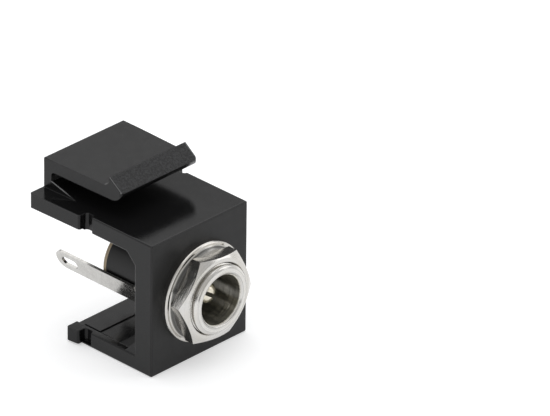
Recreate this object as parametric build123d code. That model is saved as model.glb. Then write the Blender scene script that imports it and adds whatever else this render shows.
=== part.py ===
from build123d import *
import math
import os

# Panel-mount DC jack in a keystone housing.
# Millimetres, +Z up, +Y to the rear. The origin lies on the jack's axis in the housing's front face.

# Housing: front plate and the two walls
FACE_W = 14.5            # width of the front plate and of both walls
FACE_H = 16.0            # height of the front plate
PLATE_T = 2.6            # thickness of the front plate
TOP_WALL_T = 2.0
TOP_WALL_Y = 17.65       # rear end of the top wall
BOTTOM_WALL_T = 1.8
BOTTOM_WALL_Y = 12.1     # rear end of the bottom wall
TOP_GUSSET = 1.25        # leg of the corner gusset under the top wall
BOTTOM_GUSSET_Y = 1.5    # corner gusset above the bottom wall, along the wall
BOTTOM_GUSSET_Z = 1.5    # the same gusset, up the plate
GUSSET_INSET = 0.15      # the bottom gusset stands back from the sides
SHELL_EDGE_R = 0.2       # rounding round the front face and along the sides

# Ears that stop the housing in its opening
EAR_OUT = 0.82           # how far an ear stands out from the side at its rear end
EAR_TAPER = 0.2          # it stands out this much less at its front end
TOP_EAR_Y = 10.3         # front end of the top ears
TOP_EAR_T = 1.75
BOTTOM_EAR_Y = 10.45     # front end of the bottom ears
BOTTOM_EAR_T = 1.6
EAR_CORNER_R = 0.25
RELIEF_LEN = 1.3         # relief notch in front of each ear
RELIEF_DEPTH = 0.5
RELIEF_WEB = 0.25        # left under the notch in the bottom wall

# Floor pattern on the bottom wall
RAIL_W = 0.8             # raised rail along each side of the floor
RAIL_H = 0.25
SLOT_Y = 4.3             # cross slot through the floor
SLOT_LEN = 1.85
TROUGH_END_Y = 9.1       # rear end of the lower zone behind the slot
TROUGH_DEPTH = 0.12
CHANNEL_W = 0.55         # narrow channel beside one rail
CHANNEL_Y = 7.0
CHANNEL_LEN = 4.3
CHANNEL_DEPTH = 0.7

# Latch arm, one piece with the housing
ARM_W = 12.0             # at the post
TAB_W = 11.4             # at the tab's tip, the arm tapers evenly
TAB_CORNER_R = 0.4
ARM_T = 1.45
ARM_GAP = 2.15           # slot between the top wall and the arm
POST_T = 1.2             # rear post that carries the arm
POST_FILLET_R = 0.45
ARM_BACK_R = 0.2         # rounding of the arm's top rear edge
ARM_EDGE_R = 0.12        # rounding along the arm's sides
RAMP_LEN = 3.6           # ramp from the top wall up to the post
RAMP_H = 1.05
TAB_Y = 7.95             # rear face of the thumb tab
TAB_H = 1.1              # tab peak above the arm
TAB_ROOT_R = 0.9
TAB_RUN = 1.9            # sloping grip face, along the arm
TAB_DROP = 1.35          # sloping grip face, downwards
CURL_LEN = 1.6           # curled underside of the tab
RECESS_W = 4.7           # shallow recess in the rear face of the post
RECESS_H = 1.8
RECESS_DROP = 2.5        # top of the recess below the arm's top
RECESS_DEPTH = 0.3

# Threaded barrel and its clamping parts
BARREL_R = 4.0
BARREL_OUT = 3.4         # mouth ahead of the front face
BORE_R = 2.9
MOUTH_BEVEL = 0.3
BORE_BEVEL = 0.25
THREAD_PITCH = 0.75
THREAD_DEPTH = 0.3
THREAD_TURNS = 4
FLANGE_R = 5.5
FLANGE_T = 2.1
FLANGE_FLAT = 4.05       # flat beside the sleeve lug, from the axis
FLANGE_BEVEL = 0.3
HOLE_CLEAR = 0.1         # round the barrel in the plate and washers
SEAT_CLEAR = 0.15        # round the flange where it passes the corner gussets
RING_T = 0.9             # insulating washer between the plate and the flange
WASHER_R = 5.8
WASHER_RIM_T = 0.75      # thickness at the rim
WASHER_T = 1.15          # thickness at the raised land under the nut
WASHER_LAND = 0.4        # the land is this much smaller than the rim
WASHER_BEVEL = 0.06      # first and steeper bevel of the rim, the second is as deep
NUT_WALL = 0.8           # from the bore to the flats
NUT_T = 1.65
NUT_TURN = 54.0          # direction of one corner, from +X towards +Z
NUT_LAND = 0.65          # flat front ring between the bore and the corner chamfer
NUT_CHAMFER_ANGLE = 30.0
NUT_BEVEL = 0.2

# Insulator and contacts, turned together about the jack's axis
JACK_TURN = 20.0
BODY_R = 3.85
BODY_END_Y = 10.3
SPIGOT_R = 3.3           # front of the body inside the barrel's flange
SPIGOT_LEN = 1.4
CAVITY_END_Y = 6.6       # end of the plug cavity
KEEL_W = 3.4
KEEL_STEP = 0.25         # the keel's underside below the round body
KEEL_R = 0.5
TONGUE_T = 1.15
TONGUE_OUT = 1.2         # beyond the body's rear end
TONGUE_R = 0.55
LUG_CLEAR = 0.05         # between the sleeve lug and the round body
WINDOW_LEN = 0.95        # notch in the body's rear rim
WINDOW_LOW = -0.9        # its lower and upper edges
WINDOW_HIGH = 2.4
WINDOW_DEPTH = 0.7
WAFER_T = 0.4
LUG_T = 0.3              # sheet thickness of all lugs
LUG_HOLE_R = 0.58
SLEEVE_LUG_W = 2.5
SLEEVE_LUG_Y = 17.8
SLEEVE_HOLE_LEN = 2.4
HOLE_TO_TIP = 0.85       # web between an oblong hole and the lug's tip
CENTRE_LUG_OFF = 2.3     # outer face of the centre lug from the axis
CENTRE_LUG_W = 2.7
CENTRE_LUG_Y = 16.7
CENTRE_HOLE_LEN = 2.2
EYE_CLEAR = 0.1          # between the round eye of the centre lug and the tongue
BEND_R = 0.35            # inside radius of the bends
SWITCH_W = 2.4
SWITCH_Y = 7.0           # front end of the strip under the keel
SWITCH_GAP = 0.25        # behind the tongue
SWITCH_TAB_RISE = 0.2    # top of the folded tab above the tongue

# Centre pin
PIN_R = 1.25
PIN_TIP_Y = -1.7
PIN_DOME_R = 0.9
PIN_SLOT_W = 0.45
PIN_SLOT_LEN = 3.9
PIN_SLOT_ANGLE = -34.0   # direction of the slot, from +X towards +Z
COLLAR_R = 2.0           # shoulder let into the end of the plug cavity
COLLAR_T = 0.8
SHANK_R = 1.4
TAIL_FLARE = 0.2         # flared rivet head, beyond the shank
TAIL_T = 0.25
TAIL_WALL = 0.2          # of the hollow rivet end
TAIL_BORE_LEN = 2.0

TOUCH = 0.001            # two radii closer than this are one

# Positions that follow from the sizes above
HALF_W = FACE_W / 2
TOP_Z = FACE_H / 2
BOTTOM_Z = -FACE_H / 2
CEILING_Z = TOP_Z - TOP_WALL_T
FLOOR_Z = BOTTOM_Z + BOTTOM_WALL_T
ARM_UNDER_Z = TOP_Z + ARM_GAP
ARM_TOP_Z = ARM_UNDER_Z + ARM_T
RING_END_Y = PLATE_T + RING_T
FLANGE_END_Y = RING_END_Y + FLANGE_T
SLEEVE_LUG_OFF = BODY_R + LUG_CLEAR
KEEL_DEPTH = BODY_R + KEEL_STEP
TONGUE_TOP = KEEL_DEPTH - TONGUE_T
TONGUE_Y = BODY_END_Y + TONGUE_OUT
SWITCH_TAB_TOP = TONGUE_TOP - SWITCH_TAB_RISE
EYE_R = TONGUE_TOP - EYE_CLEAR
WAFER_END_Y = BODY_END_Y + WAFER_T
EYE_END_Y = WAFER_END_Y + LUG_T
NUT_FRONT_Y = -WASHER_T - NUT_T
NUT_AF = 2 * (BARREL_R + NUT_WALL)


def block(x0, x1, y0, y1, z0, z1):
    """Box between two opposite corners."""
    size = Box(x1 - x0, y1 - y0, z1 - z0)
    return Pos((x0 + x1) / 2, (y0 + y1) / 2, (z0 + z1) / 2) * size


def side_extrusion(face, width):
    """Side profile, drawn as (y, z), made as wide as given about the middle plane."""
    return extrude(Plane.YZ * face, amount=width / 2, both=True)


def side_edges(solid):
    """Edges of the two flat side faces of a side extrusion."""
    faces = solid.faces().filter_by(Axis.X).group_by(Axis.X)
    return faces[0].edges() + faces[-1].edges()


def at_height(edges, z):
    """Straight edges that lie level at one height."""
    level = edges.filter_by(Axis.Y)
    return level.filter_by(lambda e: abs(e.center().Z - z) < TOUCH)


def turned(points):
    """Solid of revolution about the jack's axis from (radius, y) points."""
    return revolve(make_face(Polyline(*points, close=True)), axis=Axis.Y)


def rod(radius, y0, y1):
    """Round bar on the jack's axis."""
    return turned([(0, y0), (radius, y0), (radius, y1), (0, y1)])


def nearest(items, point):
    """The vertex or edge whose centre lies nearest to a point."""
    return min(items, key=lambda item: (item.center() - Vector(*point)).length)


def jack_turn(shape):
    """Turns a shape of the jack's rear about the axis."""
    return Rot(0, -JACK_TURN, 0) * shape


def shell():
    """Front plate with both walls and the corner gussets."""
    outline = Polyline(
        (0, BOTTOM_Z),
        (BOTTOM_WALL_Y, BOTTOM_Z),
        (BOTTOM_WALL_Y, FLOOR_Z),
        (PLATE_T, FLOOR_Z),
        (PLATE_T, CEILING_Z - TOP_GUSSET),
        (PLATE_T + TOP_GUSSET, CEILING_Z),
        (TOP_WALL_Y, CEILING_Z),
        (TOP_WALL_Y, TOP_Z),
        (0, TOP_Z),
        close=True,
    )
    gusset = Polyline(
        (PLATE_T - SHELL_EDGE_R, FLOOR_Z - SHELL_EDGE_R),
        (PLATE_T + BOTTOM_GUSSET_Y, FLOOR_Z - SHELL_EDGE_R),
        (PLATE_T + BOTTOM_GUSSET_Y, FLOOR_Z),
        (PLATE_T, FLOOR_Z + BOTTOM_GUSSET_Z),
        (PLATE_T - SHELL_EDGE_R, FLOOR_Z + BOTTOM_GUSSET_Z),
        close=True,
    )
    plates = side_extrusion(make_face(outline), FACE_W)
    rim = plates.edges().filter_by(Axis.X).group_by(Axis.Y)[0]
    plates = fillet(rim + side_edges(plates), SHELL_EDGE_R)
    return plates + side_extrusion(make_face(gusset), FACE_W - 2 * GUSSET_INSET)


def ear_bar(y0, y1, z0, z1):
    """Bar across a wall that ends in an ear on each side."""
    rear = HALF_W + EAR_OUT
    front = rear - EAR_TAPER
    plan = make_face(Polyline((-front, y0), (front, y0), (rear, y1), (-rear, y1), close=True))
    plan = fillet(plan.vertices(), EAR_CORNER_R)
    return Pos(0, 0, z0) * extrude(plan, amount=z1 - z0)


def relief(side, y_end, z0, z1):
    """Round-ended notch in the side face just ahead of an ear."""
    half = RELIEF_LEN / 2
    plan = RectangleRounded(2 * RELIEF_DEPTH, RELIEF_LEN, RELIEF_DEPTH * 0.8)
    plan = Pos(side * HALF_W, y_end - half) * plan
    return Pos(0, 0, z0) * extrude(plan, amount=z1 - z0)


def floor_cuts():
    """Raised rails, lower zone, cross slot and narrow channel of the floor."""
    inner = HALF_W - RAIL_W
    bed_y = PLATE_T + BOTTOM_GUSSET_Y
    bed_z = FLOOR_Z - RAIL_H
    slot_end = SLOT_Y + SLOT_LEN
    bed = block(-inner, inner, bed_y, BOTTOM_WALL_Y + EAR_OUT, bed_z, FLOOR_Z + RAIL_H)
    trough = block(-inner, inner, slot_end, TROUGH_END_Y, bed_z - TROUGH_DEPTH, FLOOR_Z)
    slot = block(-inner, inner, SLOT_Y, slot_end, BOTTOM_Z - RAIL_H, FLOOR_Z)
    channel = block(
        -inner,
        -inner + CHANNEL_W,
        CHANNEL_Y,
        CHANNEL_Y + CHANNEL_LEN,
        bed_z - CHANNEL_DEPTH,
        FLOOR_Z,
    )
    return bed + trough + slot + channel


def latch():
    """Rear post, springy arm and thumb tab."""
    root_z = TOP_Z - TOP_WALL_T / 2
    tip = (TAB_Y - TAB_RUN, ARM_TOP_Z + TAB_H - TAB_DROP)
    curl_start = (tip[0] + CURL_LEN, ARM_UNDER_Z)
    post_y = TOP_WALL_Y - POST_T
    back = Polyline(
        tip,
        (TAB_Y, ARM_TOP_Z + TAB_H),
        (TAB_Y, ARM_TOP_Z),
        (TOP_WALL_Y, ARM_TOP_Z),
        (TOP_WALL_Y, root_z),
        (post_y - RAMP_LEN, root_z),
        (post_y - RAMP_LEN, TOP_Z),
        (post_y, TOP_Z + RAMP_H),
        (post_y, ARM_UNDER_Z),
        curl_start,
    )
    curl = TangentArc(curl_start, tip, tangent=(-1, 0))
    face = make_face(back + curl)
    face = fillet(nearest(face.vertices(), (TAB_Y, ARM_TOP_Z, 0)), TAB_ROOT_R)
    face = fillet(nearest(face.vertices(), (post_y, ARM_UNDER_Z, 0)), POST_FILLET_R)
    face = fillet(nearest(face.vertices(), (TOP_WALL_Y, ARM_TOP_Z, 0)), ARM_BACK_R)
    arm = side_extrusion(face, ARM_W)
    long_edges = at_height(side_edges(arm), ARM_TOP_Z) + at_height(side_edges(arm), ARM_UNDER_Z)
    arm = fillet(long_edges, ARM_EDGE_R)
    plan = Polyline(
        (-ARM_W / 2, TOP_WALL_Y),
        (ARM_W / 2, TOP_WALL_Y),
        (TAB_W / 2, tip[0]),
        (-TAB_W / 2, tip[0]),
        close=True,
    )
    plan = make_face(plan)
    plan = fillet(plan.vertices().group_by(Axis.Y)[0], TAB_CORNER_R)
    return arm & extrude(plan, amount=2 * FACE_H)


def make_housing():
    """Keystone housing with its latch, moulded as one piece."""
    body = shell()
    body += ear_bar(TOP_EAR_Y, TOP_WALL_Y, TOP_Z - TOP_EAR_T, TOP_Z)
    body += ear_bar(BOTTOM_EAR_Y, BOTTOM_WALL_Y, FLOOR_Z - BOTTOM_EAR_T, FLOOR_Z)
    body += latch()
    for side in (-1, 1):
        body -= relief(side, TOP_EAR_Y, CEILING_Z, TOP_Z)
        body -= relief(side, BOTTOM_EAR_Y, BOTTOM_Z + RELIEF_WEB, FLOOR_Z)
    body -= floor_cuts()
    body -= rod(BARREL_R + HOLE_CLEAR, -PLATE_T, 2 * PLATE_T)
    body -= rod(FLANGE_R + SEAT_CLEAR, PLATE_T, BOTTOM_EAR_Y)
    recess_top = ARM_TOP_Z - RECESS_DROP
    body -= block(
        -RECESS_W / 2,
        RECESS_W / 2,
        TOP_WALL_Y - RECESS_DEPTH,
        TOP_WALL_Y + RECESS_DEPTH,
        recess_top - RECESS_H,
        recess_top,
    )
    return body


def make_barrel():
    """Threaded barrel with the clamping flange at its rear."""
    spigot_y = FLANGE_END_Y - SPIGOT_LEN
    barrel = turned([
        (BORE_R + BORE_BEVEL, -BARREL_OUT),
        (BARREL_R - MOUTH_BEVEL, -BARREL_OUT),
        (BARREL_R, -BARREL_OUT + MOUTH_BEVEL),
        (BARREL_R, RING_END_Y),
        (FLANGE_R - FLANGE_BEVEL, RING_END_Y),
        (FLANGE_R, RING_END_Y + FLANGE_BEVEL),
        (FLANGE_R, FLANGE_END_Y - FLANGE_BEVEL),
        (FLANGE_R - FLANGE_BEVEL, FLANGE_END_Y),
        (SPIGOT_R, FLANGE_END_Y),
        (SPIGOT_R, spigot_y),
        (BORE_R, spigot_y),
        (BORE_R, -BARREL_OUT + BORE_BEVEL),
    ])
    barrel -= block(-2 * FLANGE_R, -FLANGE_FLAT, RING_END_Y, FLANGE_END_Y, -FLANGE_R, FLANGE_R)
    for turn in range(THREAD_TURNS):
        y = -BARREL_OUT + MOUTH_BEVEL + THREAD_PITCH * (turn + 0.5)
        barrel -= turned([
            (BARREL_R - THREAD_DEPTH, y),
            (BARREL_R + THREAD_DEPTH, y - THREAD_DEPTH),
            (BARREL_R + THREAD_DEPTH, y + THREAD_DEPTH),
        ])
    return barrel


def flat_ring(outer, inner, y0, y1):
    """Flat washer blank on the jack's axis."""
    return turned([(inner, y0), (outer, y0), (outer, y1), (inner, y1)])


def make_ring():
    """Insulating washer between the plate and the barrel's flange."""
    return flat_ring(FLANGE_R, BARREL_R + HOLE_CLEAR, PLATE_T, RING_END_Y)


def make_washer():
    """Plated washer under the nut: rounded rim and a raised land."""
    inner = BARREL_R + HOLE_CLEAR
    land = WASHER_R - WASHER_LAND
    step = WASHER_T - WASHER_RIM_T
    return turned([
        (inner, -WASHER_T),
        (land - step, -WASHER_T),
        (land, -WASHER_RIM_T),
        (WASHER_R - 3 * WASHER_BEVEL, -WASHER_RIM_T),
        (WASHER_R - WASHER_BEVEL, -WASHER_RIM_T + WASHER_BEVEL),
        (WASHER_R, -WASHER_RIM_T + 3 * WASHER_BEVEL),
        (WASHER_R, 0),
        (inner, 0),
    ])


def make_nut():
    """Hexagon nut with corner chamfers on its front."""
    plan = RegularPolygon(NUT_AF / 2, 6, major_radius=False)
    prism = extrude(plan, amount=NUT_T)
    prism = Pos(0, -WASHER_T, 0) * (Rot(90, 0, 0) * prism)
    corner_r = NUT_AF / 2 / math.cos(math.pi / 6)
    prism = Rot(0, -NUT_TURN, 0) * prism
    slope = math.tan(math.radians(NUT_CHAMFER_ANGLE))
    reach = corner_r + NUT_BEVEL
    land = BARREL_R + NUT_LAND
    cone = turned([
        (BARREL_R, NUT_FRONT_Y + NUT_BEVEL),
        (BARREL_R + NUT_BEVEL, NUT_FRONT_Y),
        (land, NUT_FRONT_Y),
        (reach, NUT_FRONT_Y + (reach - land) * slope),
        (reach, -WASHER_T),
        (BARREL_R, -WASHER_T),
    ])
    return prism & cone


def lug_blank(width, tip_y, start_y, hole_len):
    """Flat strip lug along Y in the plane x = 0 to LUG_T, round-ended, with an oblong hole."""
    half = width / 2
    strip = block(0, LUG_T, start_y, tip_y - half, -half, half)
    strip += Pos(LUG_T / 2, tip_y - half, 0) * (Rot(0, 90, 0) * Cylinder(half, LUG_T))
    hole_plan = SlotOverall(hole_len, 2 * LUG_HOLE_R)
    hole = extrude(hole_plan, amount=LUG_T, both=True)
    hole = Pos(LUG_T / 2, tip_y - HOLE_TO_TIP - hole_len / 2, 0) * (Rot(0, 90, 0) * (Rot(0, 0, 90) * hole))
    return strip - hole


def make_body():
    """Moulded insulator with its spigot, keel, rear tongue and window."""
    body = rod(BODY_R, FLANGE_END_Y, BODY_END_Y)
    body += rod(SPIGOT_R, FLANGE_END_Y - SPIGOT_LEN, FLANGE_END_Y)
    half_keel = KEEL_W / 2
    keel = block(-half_keel, half_keel, FLANGE_END_Y, BODY_END_Y, -KEEL_DEPTH, 0)
    keel = fillet(keel.edges().filter_by(Axis.Y).group_by(Axis.Z)[0], KEEL_R)
    tongue = block(-half_keel, half_keel, BODY_END_Y - WAFER_T, TONGUE_Y, -KEEL_DEPTH, -TONGUE_TOP)
    tongue = fillet(tongue.edges().filter_by(Axis.Z).group_by(Axis.Y)[-1], TONGUE_R)
    body += keel + tongue
    body -= rod(BORE_R, FLANGE_END_Y - 2 * SPIGOT_LEN, CAVITY_END_Y)
    body -= rod(COLLAR_R, CAVITY_END_Y - COLLAR_T, CAVITY_END_Y + COLLAR_T)
    body -= rod(SHANK_R, CAVITY_END_Y, TONGUE_Y)
    body -= block(
        BODY_R - WINDOW_DEPTH,
        BODY_R + WINDOW_DEPTH,
        BODY_END_Y - WINDOW_LEN,
        BODY_END_Y + WINDOW_LEN,
        WINDOW_LOW,
        WINDOW_HIGH,
    )
    return jack_turn(body)


def make_wafer():
    """Round laminate wafer with a flat at the tongue."""
    wafer = flat_ring(BODY_R, SHANK_R, BODY_END_Y, WAFER_END_Y)
    wafer -= block(-BODY_R, BODY_R, 0, TONGUE_Y, -2 * BODY_R, -TONGUE_TOP)
    return jack_turn(wafer)


def make_sleeve_lug():
    """Straight solder lug of the sleeve contact, butted on the barrel's flange."""
    lug = lug_blank(SLEEVE_LUG_W, SLEEVE_LUG_Y, FLANGE_END_Y, SLEEVE_HOLE_LEN)
    return jack_turn(Pos(-SLEEVE_LUG_OFF - LUG_T, 0, 0) * lug)


def make_centre_lug():
    """Solder lug riveted on the wafer, bent to point rearwards."""
    half = CENTRE_LUG_W / 2
    outer = BEND_R + LUG_T
    inner_x = CENTRE_LUG_OFF - LUG_T
    eye = flat_ring(EYE_R, SHANK_R, WAFER_END_Y, EYE_END_Y)
    eye &= block(-EYE_R, CENTRE_LUG_OFF - outer, 0, SLEEVE_LUG_Y, -EYE_R, EYE_R)
    strap = block(0, CENTRE_LUG_OFF - outer, WAFER_END_Y, EYE_END_Y, -half, half)
    strap -= rod(SHANK_R, WAFER_END_Y, EYE_END_Y)
    bend_centre = (CENTRE_LUG_OFF - outer, WAFER_END_Y + outer)
    bend = Cylinder(outer, CENTRE_LUG_W) - Cylinder(BEND_R, CENTRE_LUG_W)
    bend = Pos(*bend_centre, 0) * bend
    bend &= block(
        bend_centre[0],
        CENTRE_LUG_OFF,
        WAFER_END_Y,
        bend_centre[1],
        -half,
        half,
    )
    blade = lug_blank(CENTRE_LUG_W, CENTRE_LUG_Y, bend_centre[1], CENTRE_HOLE_LEN)
    return jack_turn(eye + strap + bend + Pos(inner_x, 0, 0) * blade)


def make_switch_lug():
    """Contact strip under the keel, its rear end folded up behind the tongue."""
    inner_z = -KEEL_DEPTH
    face_y = TONGUE_Y + SWITCH_GAP
    outer = BEND_R + LUG_T
    strip = Polyline(
        (SWITCH_Y, inner_z),
        (face_y, inner_z),
        (face_y, -SWITCH_TAB_TOP),
        (face_y + LUG_T, -SWITCH_TAB_TOP),
        (face_y + LUG_T, inner_z - LUG_T),
        (SWITCH_Y, inner_z - LUG_T),
        close=True,
    )
    face = make_face(strip)
    face = fillet(nearest(face.vertices(), (face_y, inner_z, 0)), BEND_R / 2)
    face = fillet(nearest(face.vertices(), (face_y + LUG_T, inner_z - LUG_T, 0)), BEND_R / 2 + LUG_T)
    return jack_turn(side_extrusion(face, SWITCH_W))


def make_pin():
    """Split centre pin with a shoulder, its hollow tail flared over the lug."""
    bore = SHANK_R - TAIL_WALL
    pin = turned([
        (0, PIN_TIP_Y),
        (PIN_R, PIN_TIP_Y),
        (PIN_R, CAVITY_END_Y),
        (COLLAR_R, CAVITY_END_Y),
        (COLLAR_R, CAVITY_END_Y + COLLAR_T),
        (SHANK_R, CAVITY_END_Y + COLLAR_T),
        (SHANK_R, EYE_END_Y),
        (SHANK_R + TAIL_FLARE, EYE_END_Y),
        (SHANK_R + TAIL_FLARE / 2, EYE_END_Y + TAIL_T),
        (bore, EYE_END_Y + TAIL_T),
        (bore, EYE_END_Y + TAIL_T - TAIL_BORE_LEN),
        (0, EYE_END_Y + TAIL_T - TAIL_BORE_LEN),
    ])
    pin = fillet(pin.edges().group_by(Axis.Y)[0], PIN_DOME_R)
    slot = block(
        -2 * PIN_R,
        2 * PIN_R,
        PIN_TIP_Y - PIN_R,
        PIN_TIP_Y + PIN_SLOT_LEN,
        -PIN_SLOT_W / 2,
        PIN_SLOT_W / 2,
    )
    return pin - Rot(0, -PIN_SLOT_ANGLE, 0) * slot


NODES = {
    "housing": make_housing,
    "front_washer": make_washer,
    "hex_nut": make_nut,
    "threaded_barrel": make_barrel,
    "insulating_washer": make_ring,
    "insulator_body": make_body,
    "rear_wafer": make_wafer,
    "sleeve_terminal": make_sleeve_lug,
    "centre_terminal": make_centre_lug,
    "switch_terminal": make_switch_lug,
    "centre_pin": make_pin,
}

os.makedirs("parts", exist_ok=True)
for name, make in NODES.items():
    export_step(make(), "parts/" + name + ".step")
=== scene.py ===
import bmesh
import bpy
from mathutils import Matrix, Vector


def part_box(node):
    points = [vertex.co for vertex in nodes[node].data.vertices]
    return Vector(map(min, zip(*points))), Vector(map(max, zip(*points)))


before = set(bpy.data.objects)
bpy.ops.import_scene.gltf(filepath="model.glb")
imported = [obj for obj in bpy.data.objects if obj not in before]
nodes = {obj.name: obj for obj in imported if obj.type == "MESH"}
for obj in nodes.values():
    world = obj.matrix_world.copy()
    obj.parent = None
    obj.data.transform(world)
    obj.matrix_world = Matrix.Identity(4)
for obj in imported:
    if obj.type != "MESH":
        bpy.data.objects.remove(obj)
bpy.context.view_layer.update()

MM = 0.001

# Places on the housing, in millimetres
SHELL_HALF_W = 7.25      # front face
SHELL_HALF_H = 8.0
EDGE_HIGHLIGHT = (0.17, 0.05)    # inwards from each side: where the painted edge highlight starts, and where it is full
TAB_HALF_W = 5.7         # sloping face of the thumb tab
TAB_LOW_Z = 11.3
TAB_BACK_Y = 7.95
ARM_HALF_W = 6.0         # at its rear end
ARM_BACK_Y = 17.65
ARM_TAPER = 0.0259       # lost on each side per millimetre towards the front
RAMP_FOOT_Y = 12.85      # ramp under the arm
RAMP_FOOT_Z = 8.0
RAMP_TOP_Z = 9.05
RAMP_SLOPE = 0.292

# Places on the jack, in millimetres
BORE_R = 2.9
WASHER_LAND_R = 5.25     # foot of the washer's rim
WAFER_RIM_R = (3.7, 3.8)


def shade(color, factor, lift=0.0):
    """A colour made darker or lighter, then lifted by an even grey."""
    return tuple(factor * c + lift for c in color)


class Nodes:
    """A node tree built from sums, products and soft borders."""

    def __init__(self, tree):
        self.t = tree
        self.t.nodes.clear()

    def new(self, kind, **settings):
        node = self.t.nodes.new(kind)
        for key, value in settings.items():
            setattr(node, key, value)
        return node

    def link(self, a, b):
        self.t.links.new(a, b)

    def put(self, socket, value):
        """A number or an output goes into a socket."""
        if isinstance(value, (int, float)):
            socket.default_value = value
        else:
            self.link(value, socket)

    def calc(self, operation, a, b=0.0, c=0.0, clamp=False):
        node = self.new("ShaderNodeMath", operation=operation, use_clamp=clamp)
        for socket, value in zip(node.inputs, (a, b, c)):
            self.put(socket, value)
        return node.outputs[0]

    def times(self, *factors):
        product = factors[0]
        for factor in factors[1:]:
            product = self.calc("MULTIPLY", product, factor)
        return product

    def add(self, a, b):
        return self.calc("ADD", a, b)

    def fit(self, value, low, high, to_low=0.0, to_high=1.0):
        """A soft step from one border to the other."""
        node = self.new("ShaderNodeMapRange", interpolation_type="SMOOTHSTEP")
        keys = ("Value", "From Min", "From Max", "To Min", "To Max")
        for key, v in zip(keys, (value, low, high, to_low, to_high)):
            self.put(node.inputs[key], v)
        return node.outputs[0]

    def band(self, value, rise, fall):
        """1 between two soft steps, each given as (0 at, 1 at)."""
        return self.times(self.fit(value, *rise), self.fit(value, *fall))

    def seen_directly(self):
        """1 for rays from the camera and from mirror-like surfaces, 0 for the rays that light the module."""
        path = self.new("ShaderNodeLightPath")
        value = path.outputs["Is Camera Ray"]
        for name in ("Is Glossy Ray", "Is Transmission Ray"):
            value = self.calc("MAXIMUM", value, path.outputs[name])
        return value


class Mat(Nodes):
    """A procedural material: one principled shader with patterns in object coordinates, in millimetres."""

    def __init__(self, name, color, rough, metal=0.0, ior=1.5, spec=0.5):
        self.m = bpy.data.materials.new(name)
        self.m.use_nodes = True
        super().__init__(self.m.node_tree)
        self.b = self.new("ShaderNodeBsdfPrincipled")
        self.link(self.b.outputs[0], self.new("ShaderNodeOutputMaterial").inputs[0])
        self.b.inputs["Base Color"].default_value = (*color, 1)
        self.b.inputs["Roughness"].default_value = rough
        self.b.inputs["Metallic"].default_value = metal
        self.b.inputs["IOR"].default_value = ior
        self.b.inputs["Specular IOR Level"].default_value = spec
        coord = self.new("ShaderNodeTexCoord")
        scale = self.new("ShaderNodeVectorMath", operation="SCALE")
        scale.inputs["Scale"].default_value = 1 / MM
        self.link(coord.outputs["Object"], scale.inputs[0])
        self.mm = scale.outputs[0]
        self.normal = None

    def stretch(self, sx, sy, sz):
        node = self.new("ShaderNodeVectorMath", operation="MULTIPLY")
        node.inputs[1].default_value = (sx, sy, sz)
        self.link(self.mm, node.inputs[0])
        return node.outputs[0]

    def noise(self, scale, detail, rough, vec=None, distort=0.0):
        node = self.new("ShaderNodeTexNoise")
        node.inputs["Scale"].default_value = scale
        node.inputs["Detail"].default_value = detail
        node.inputs["Roughness"].default_value = rough
        node.inputs["Distortion"].default_value = distort
        self.link(vec or self.mm, node.inputs["Vector"])
        return node.outputs["Fac"]

    def mix(self, factor, a, b):
        """Colour a where factor is 0, b where it is 1."""
        node = self.new("ShaderNodeMix", data_type="RGBA")
        self.put(node.inputs["Factor"], factor)
        for key, v in ((6, a), (7, b)):
            if isinstance(v, tuple):
                node.inputs[key].default_value = (*v, 1)
            else:
                self.link(v, node.inputs[key])
        return node.outputs[2]

    def axis(self, name):
        node = self.new("ShaderNodeSeparateXYZ")
        self.link(self.mm, node.inputs[0])
        return node.outputs[name]

    def radius(self):
        """Distance from the jack's axis."""
        x, z = self.axis("X"), self.axis("Z")
        return self.calc("SQRT", self.add(self.times(x, x), self.times(z, z)))

    def bump(self, height, strength, distance):
        """Adds a bump layer; distance in millimetres."""
        node = self.new("ShaderNodeBump")
        node.inputs["Strength"].default_value = strength
        node.inputs["Distance"].default_value = distance * MM
        self.link(height, node.inputs["Height"])
        if self.normal is not None:
            self.link(self.normal, node.inputs["Normal"])
        self.normal = node.outputs[0]

    def edge(self, width):
        """0 on flat faces, 1 on corners sharper than the width; also the rounded shading of the corner."""
        bevel = self.new("ShaderNodeBevel", samples=6)
        bevel.inputs["Radius"].default_value = width * MM
        flat = self.new("ShaderNodeNewGeometry")
        dot = self.new("ShaderNodeVectorMath", operation="DOT_PRODUCT")
        self.link(bevel.outputs[0], dot.inputs[0])
        self.link(flat.outputs["Normal"], dot.inputs[1])
        return self.fit(dot.outputs["Value"], 0.98, 0.72), bevel.outputs[0]

    def done(self, color, rough):
        """Links the finished colour, roughness and bump."""
        self.link(color, self.b.inputs["Base Color"])
        self.link(rough, self.b.inputs["Roughness"])
        if self.normal is not None:
            self.link(self.normal, self.b.inputs["Normal"])
        return self.m


# Black plastics
def frosted_tab(m, base, smooth, light, y, z, aside):
    """The sloping face of the thumb tab is eroded coarsely, with a highlight painted along the corner at each
    side.
    """
    tip = m.times(m.fit(z, TAB_LOW_Z, TAB_LOW_Z + 0.1), m.fit(y, TAB_BACK_Y + 0.05, TAB_BACK_Y - 0.01))
    on_tab = m.times(tip, m.fit(aside, TAB_HALF_W, TAB_HALF_W - 0.1))
    corner_highlight = m.band(aside, (TAB_HALF_W - 0.14, TAB_HALF_W - 0.08), (TAB_HALF_W, TAB_HALF_W - 0.03))
    m.bump(m.times(m.noise(5, 3, 0.7), on_tab), 0.8, 0.12)
    frost = m.times(on_tab, m.fit(m.noise(4.2, 3, 0.75), 0.4, 0.62))
    base = m.mix(m.times(on_tab, 0.5), base, shade(light, 2.4))
    base = m.mix(frost, base, shade(light, 6.4))
    # painted highlight along the tab's side corners
    base = m.mix(m.times(tip, corner_highlight, 0.8), base, (0.2, 0.2, 0.2))
    return base, m.add(smooth, m.times(on_tab, 0.22))


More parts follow.
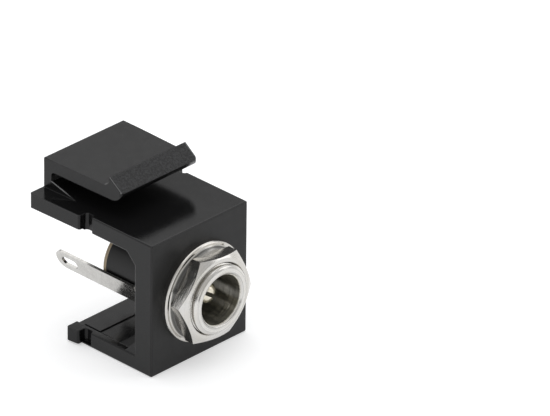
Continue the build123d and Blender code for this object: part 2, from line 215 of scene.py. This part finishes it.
def ramp_edge_highlight(m, base, y, z, aside):
    """A sharp moulded edge runs up each side of the ramp under the arm; a highlight is painted along it."""
    ramp_z = m.calc("MULTIPLY_ADD", y, RAMP_SLOPE, RAMP_FOOT_Z - RAMP_SLOPE * RAMP_FOOT_Y)
    arm_half = m.calc("MULTIPLY_ADD", y, ARM_TAPER, ARM_HALF_W - ARM_TAPER * ARM_BACK_Y)
    on_ramp = m.fit(m.calc("ABSOLUTE", m.calc("SUBTRACT", ramp_z, z)), 0.1, 0.04)
    at_side = m.fit(m.calc("SUBTRACT", arm_half, aside), 0.14, 0.06)
    after_foot = m.fit(y, RAMP_FOOT_Y, RAMP_FOOT_Y + 0.3)
    below_top = m.fit(z, RAMP_TOP_Z + 0.05, RAMP_TOP_Z - 0.05)
    return m.mix(m.times(on_ramp, at_side, after_foot, below_top, 0.85), base, (0.3, 0.3, 0.3))


def shell_edge_highlight(m, base, y, z, aside):
    """A highlight is painted along the rounded edges of the shell, where two of its outer faces meet."""
    start, full = EDGE_HIGHLIGHT
    out_x = m.fit(aside, SHELL_HALF_W - start, SHELL_HALF_W - full)
    out_z = m.fit(m.calc("ABSOLUTE", z), SHELL_HALF_H - start, SHELL_HALF_H - full)
    out_y = m.fit(y, start, full)
    painted_highlight = m.calc("MULTIPLY_ADD", out_x, out_y, m.times(out_z, out_y))
    painted_highlight = m.calc("MULTIPLY_ADD", out_x, out_z, painted_highlight, clamp=True)
    return m.mix(m.times(painted_highlight, 0.6), base, (0.028, 0.028, 0.028))


def housing_marks(m, base, smooth, light, rough):
    """What sets the faces of the housing apart, with a satin front face, a polished top wall and highlights
    painted along some edges.
    """
    y, z = m.axis("Y"), m.axis("Z")
    aside = m.calc("ABSOLUTE", m.axis("X"))
    smooth = m.add(smooth, m.fit(y, 0.06, 0.0, 0.0, 0.2))
    base, smooth = frosted_tab(m, base, smooth, light, y, z, aside)
    base = ramp_edge_highlight(m, base, y, z, aside)
    base = shell_edge_highlight(m, base, y, z, aside)
    polished = m.band(z, (SHELL_HALF_H - 0.1, SHELL_HALF_H - 0.02), (SHELL_HALF_H + 0.6, SHELL_HALF_H + 0.1))
    base = m.mix(polished, base, shade(light, 1.0, 0.003))
    return base, m.calc("SUBTRACT", smooth, m.times(polished, rough - 0.09))


def plastic(name, dark, light, rough, grain=0.012, marks=None):
    """Black moulded plastic: fine spark-eroded grain, faint cloudiness, and paler sharp edges, part wear and
    part painted highlight.
    """
    m = Mat(name, dark, rough, ior=1.48, spec=0.32)
    wear_and_highlight, m.normal = m.edge(0.1)
    cloud = m.fit(m.noise(0.35, 4, 0.6), 0.35, 0.68)
    speck = m.fit(m.noise(9, 2, 0.7), 0.62, 0.78)
    base = m.mix(cloud, dark, light)
    base = m.mix(m.times(speck, 0.3), base, shade(light, 2.0))
    # paler sharp edges: part wear, part painted highlight
    base = m.mix(m.times(wear_and_highlight, 0.6), base, shade(light, 2.6, 0.03))
    smooth = m.fit(m.noise(0.8, 3, 0.6), 0.3, 0.7, rough - 0.03, rough + 0.04)
    smooth = m.add(smooth, m.times(speck, 0.05))
    if marks:
        base, smooth = marks(m, base, smooth, light, rough)
    m.bump(m.noise(14, 3, 0.65), 0.3, grain)
    m.bump(m.noise(0.9, 2, 0.5), 0.08, 0.02)
    return m.done(base, smooth)


# Plated and tinned metal
def plug_bore(m, tint, smooth, r):
    """The bore is duller, with two pale streaks painted along the +X side as reflections, brighter towards
    the mouth, between darker streaks along the axis.
    """
    inside = m.fit(r, BORE_R + 0.12, BORE_R + 0.02)
    tint = m.mix(m.times(inside, 0.9), tint, (0.5, 0.48, 0.4))
    marks = m.noise(0.9, 2, 0.5, vec=m.stretch(0.9, 1.1, 0.9), distort=0.5)
    m.bump(m.times(marks, inside), 1.0, 0.16)
    turn = m.calc("ARCTAN2", m.axis("Z"), m.axis("X"))
    # painted reflections: two pale streaks on the +X side of the bore, fading deeper in
    streak = m.band(turn, (-0.42, -0.25), (0.1, -0.15))
    second = m.band(turn, (-0.9, -0.75), (-0.55, -0.7))
    streak = m.calc("MULTIPLY_ADD", second, 0.35, streak)
    long_marks = m.noise(1.1, 3, 0.6, vec=m.stretch(1.5, 0.25, 1.5))
    faded = m.fit(m.axis("Y"), -3.2, -0.6, 0.35, 1.0)
    painted_highlight = m.times(streak, inside, m.fit(long_marks, 0.2, 0.6, 0.7, 1.0), faded)
    darker = m.times(inside, m.fit(long_marks, 0.6, 0.4, 0.0, 0.6))
    tint = m.mix(darker, tint, (0.15, 0.14, 0.11))
    tint = m.mix(painted_highlight, tint, (0.95, 0.93, 0.87))
    dull = m.times(inside, m.calc("MULTIPLY_ADD", painted_highlight, 0.82, 0.18))
    m.link(m.calc("SUBTRACT", 1.0, dull), m.b.inputs["Metallic"])
    return tint, m.add(smooth, m.times(inside, 0.16))


def painted_rim_shade(m, tint, color, r):
    """Painted shade on the washer's flat inside the rim, darker still at the -X side as a painted dark
    reflection, darkest along the rim's foot.
    """
    hidden = m.fit(r, WASHER_LAND_R + 0.05, WASHER_LAND_R - 0.1, 0.0, 0.8)
    left_shade = m.times(hidden, m.fit(m.axis("X"), -1.2, -2.6))
    foot = m.band(r, (WASHER_LAND_R - 0.16, WASHER_LAND_R - 0.06), (WASHER_LAND_R + 0.08, WASHER_LAND_R))
    # painted shade inside the rim, heavier on the -X side
    tint = m.mix(hidden, tint, shade(color, 0.4))
    tint = m.mix(left_shade, tint, shade(color, 0.08))
    return m.mix(m.times(foot, 0.8), tint, (0.06, 0.06, 0.055))


def turned_rings(m, tint, color, r, turned):
    """Fine rings from the lathe all over, and broader ones on what stands in front of the plate."""
    y = m.axis("Y")
    ring = m.new("ShaderNodeCombineXYZ")
    m.link(r, ring.inputs[0])
    m.link(y, ring.inputs[1])
    lines = m.noise(7, 3, 0.75, vec=ring.outputs[0])
    m.bump(lines, turned, 0.02)
    broad = m.times(m.noise(2.6, 2, 0.5, vec=ring.outputs[0]), m.fit(y, -0.3, -0.9))
    m.bump(broad, turned * turned * 0.6, 0.12)
    return m.mix(m.fit(lines, 0.45, 0.7, 0.0, 0.45 * turned), tint, shade(color, 0.45))


def nickel(name, color, rough, turned=0.0, bore=False, rim_shade=False):
    """Bright nickel plate: slight waviness, spots, fine scratches and turning marks round the axis."""
    m = Mat(name, color, rough, metal=1.0)
    warm = tuple(c * f for c, f in zip(color, (0.93, 0.9, 0.84)))
    cloud = m.fit(m.noise(0.55, 4, 0.6), 0.3, 0.7)
    spots = m.fit(m.noise(4.5, 3, 0.7), 0.63, 0.74)
    tint = m.mix(m.times(cloud, 0.6), color, warm)
    tint = m.mix(m.times(spots, 0.2), tint, shade(color, 0.6))
    scratch = m.noise(3.0, 4, 0.75, vec=m.stretch(1.2, 9, 2.1), distort=0.4)
    smooth = m.fit(m.noise(1.3, 3, 0.6), 0.3, 0.7, rough, rough + 0.08)
    smooth = m.add(smooth, m.fit(scratch, 0.55, 0.8, 0, 0.06))
    r = m.radius()
    if bore:
        tint, smooth = plug_bore(m, tint, smooth, r)
    if rim_shade:
        tint = painted_rim_shade(m, tint, color, r)
    if turned:
        tint = turned_rings(m, tint, color, r, turned)
    tint = m.mix(m.fit(m.noise(11, 3, 0.8), 0.45, 0.7, 0.0, 0.3), tint, shade(color, 0.6))
    m.bump(m.noise(0.7, 2, 0.5), 0.3, 0.04)
    m.bump(scratch, 0.12, 0.01)
    return m.done(tint, smooth)


def tin(name):
    """Tinned sheet: mottled, softly rolled along its length, with dull patches."""
    m = Mat(name, (0.55, 0.54, 0.52), 0.14, metal=1.0)
    mottle = m.fit(m.noise(1.6, 5, 0.65), 0.36, 0.66)
    fine = m.fit(m.noise(7, 3, 0.7), 0.4, 0.7)
    rolled = m.noise(4, 3, 0.7, vec=m.stretch(3, 0.35, 3))
    base = m.mix(m.times(mottle, 0.6), (0.57, 0.56, 0.54), (0.46, 0.45, 0.43))
    base = m.mix(m.times(fine, 0.35), base, (0.4, 0.39, 0.37))
    smooth = m.add(m.fit(mottle, 0, 1, 0.13, 0.24), m.fit(rolled, 0.4, 0.7, 0, 0.06))
    m.bump(rolled, 0.15, 0.01)
    m.bump(m.noise(0.8, 2, 0.5), 0.15, 0.02)
    return m.done(base, smooth)


def laminate(name):
    """Brown paper laminate: fibres in the sheet, greyer layers on the rim."""
    m = Mat(name, (0.24, 0.15, 0.08), 0.55)
    fibre = m.noise(7, 4, 0.7, vec=m.stretch(1, 6, 1))
    layer = m.noise(1, 1, 0.5, vec=m.stretch(0.05, 14, 0.05))
    face = m.mix(m.fit(fibre, 0.35, 0.7), (0.22, 0.11, 0.045), (0.36, 0.2, 0.1))
    rim = m.mix(m.fit(layer, 0.45, 0.65), (0.32, 0.25, 0.16), (0.44, 0.37, 0.26))
    m.bump(fibre, 0.4, 0.03)
    return m.done(m.mix(m.fit(m.radius(), *WAFER_RIM_R), face, rim), m.fit(fibre, 0.3, 0.7, 0.45, 0.65))


MATERIALS = {
    "housing": plastic(
        "housing plastic", (0.0038, 0.0038, 0.004), (0.0052, 0.0052, 0.0054), 0.21, marks=housing_marks
    ),
    "front_washer": nickel("washer plate", (0.57, 0.56, 0.54), 0.12, turned=0.3, rim_shade=True),
    "hex_nut": nickel("nut plate", (0.62, 0.61, 0.59), 0.14, turned=0.5),
    "threaded_barrel": nickel("barrel plate", (0.66, 0.65, 0.63), 0.12, turned=1.0, bore=True),
    "insulating_washer": plastic(
        "ring insulation", (0.005, 0.005, 0.0052), (0.008, 0.008, 0.0082), 0.5, grain=0.02
    ),
    "insulator_body": plastic(
        "insulator plastic", (0.0045, 0.0045, 0.0047), (0.0065, 0.0065, 0.0067), 0.35, grain=0.01
    ),
    "rear_wafer": laminate("wafer laminate"),
    "sleeve_terminal": tin("sleeve lug tin"),
    "centre_terminal": tin("centre lug tin"),
    "switch_terminal": tin("switch lug tin"),
    "centre_pin": nickel("pin plate", (0.7, 0.66, 0.56), 0.18),
}
for name, material in MATERIALS.items():
    mesh = nodes[name].data
    mesh.materials.clear()
    mesh.materials.append(material)


# Floor: the module stands on its bottom wall, a hair above the paper
FLOOR_GAP = 0.02 * MM
FLOOR_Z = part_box("housing")[0].z - FLOOR_GAP
FLOOR_SIZE = 6.0


def floor_paper():
    """White paper: its own shade keeps the shadow, a glow lifts it to plain white for direct sight."""
    m = Mat("floor paper", (0.79, 0.79, 0.79), 0.9, spec=0.0)
    tone = m.mix(m.fit(m.noise(0.02, 3, 0.5), 0.3, 0.7), (0.8, 0.8, 0.8), (0.77, 0.77, 0.77))
    m.link(tone, m.b.inputs["Base Color"])
    m.link(m.times(m.seen_directly(), 0.44), m.b.inputs["Emission Strength"])
    m.b.inputs["Emission Color"].default_value = (1, 1, 1, 1)
    return m.m


bm = bmesh.new()
bmesh.ops.create_grid(bm, x_segments=1, y_segments=1, size=FLOOR_SIZE / 2)
floor_mesh = bpy.data.meshes.new("floor")
bm.to_mesh(floor_mesh)
bm.free()
floor_mesh.materials.append(floor_paper())
floor = bpy.data.objects.new("floor", floor_mesh)
floor.location.z = FLOOR_Z
bpy.context.scene.collection.objects.link(floor)


# Lamps, all aimed at the middle of the jack
LAMP_AIM = Vector((0, 0.007, 0))


def softbox(name, place, size, power):
    lamp = bpy.data.lights.new(name, "AREA")
    lamp.shape = "RECTANGLE"
    lamp.size, lamp.size_y = size
    lamp.energy = power
    obj = bpy.data.objects.new(name, lamp)
    obj.location = place
    obj.rotation_euler = (LAMP_AIM - Vector(place)).to_track_quat("-Z", "Y").to_euler()
    bpy.context.scene.collection.objects.link(obj)


softbox("overhead", (0.1, 0.12, 0.5), (0.9, 0.9), 2.2)
softbox("left", (-0.45, 0.1, 0.16), (0.35, 0.3), 0.35)
softbox("right", (0.4, -0.32, 0.2), (0.3, 0.3), 0.3)


def studio_world():
    """Even light for the module, white for the camera, and a greyer tent over a white horizon for mirrors."""
    world = bpy.data.worlds.new("studio")
    world.use_nodes = True
    w = Nodes(world.node_tree)
    way = w.new("ShaderNodeTexCoord").outputs["Generated"]
    split = w.new("ShaderNodeSeparateXYZ")
    w.link(way, split.inputs[0])
    tent = w.fit(split.outputs["Z"], 0.0, 0.4, 1.0, 0.62)
    # a dark card stands low at the front left, for the flats of the nut and the washer beside it
    towards_card = w.new("ShaderNodeVectorMath", operation="DOT_PRODUCT")
    towards_card.inputs[1].default_value = Vector((-0.8, -0.6, -0.02)).normalized()
    w.link(way, towards_card.inputs[0])
    card = w.fit(towards_card.outputs["Value"], 0.93, 0.985, 1.0, 0.05)
    camera_ray = w.new("ShaderNodeLightPath").outputs["Is Camera Ray"]
    sight = w.new("ShaderNodeBackground")
    sight.inputs["Color"].default_value = (1, 1, 1, 1)
    w.link(w.calc("MAXIMUM", w.times(tent, card), camera_ray), sight.inputs["Strength"])
    room = w.new("ShaderNodeBackground")
    room.inputs["Color"].default_value = (0.97, 0.98, 1.0, 1)
    room.inputs["Strength"].default_value = 0.5
    either = w.new("ShaderNodeMixShader")
    w.link(w.seen_directly(), either.inputs[0])
    w.link(room.outputs[0], either.inputs[1])
    w.link(sight.outputs[0], either.inputs[2])
    w.link(either.outputs[0], w.new("ShaderNodeOutputWorld").inputs[0])
    bpy.context.scene.world = world


studio_world()

# Camera: a long lens, its place and turn fitted to the photograph's edges
IMAGE_W = 550
FOCAL_PIXELS = 8000
SENSOR_W = 36.0
CAM_PLACE = Vector((-0.53118, -0.52129, 0.41971))
CAM_RIGHT = Vector((0.697104, -0.716885, 0.011057))
CAM_UP = Vector((0.338998, 0.343154, 0.875971))
CAM_BACK = Vector((-0.631765, -0.606895, 0.482237))
lens = bpy.data.cameras.new("camera")
lens.sensor_width = SENSOR_W
lens.lens = FOCAL_PIXELS / IMAGE_W * SENSOR_W
lens.clip_start = 0.01
lens.clip_end = 20
camera = bpy.data.objects.new("camera", lens)
turn = Matrix((CAM_RIGHT, CAM_UP, CAM_BACK)).transposed().to_4x4()
camera.matrix_world = Matrix.Translation(CAM_PLACE) @ turn
bpy.context.scene.collection.objects.link(camera)
bpy.context.scene.camera = camera
bpy.context.scene.view_settings.view_transform = "Standard"
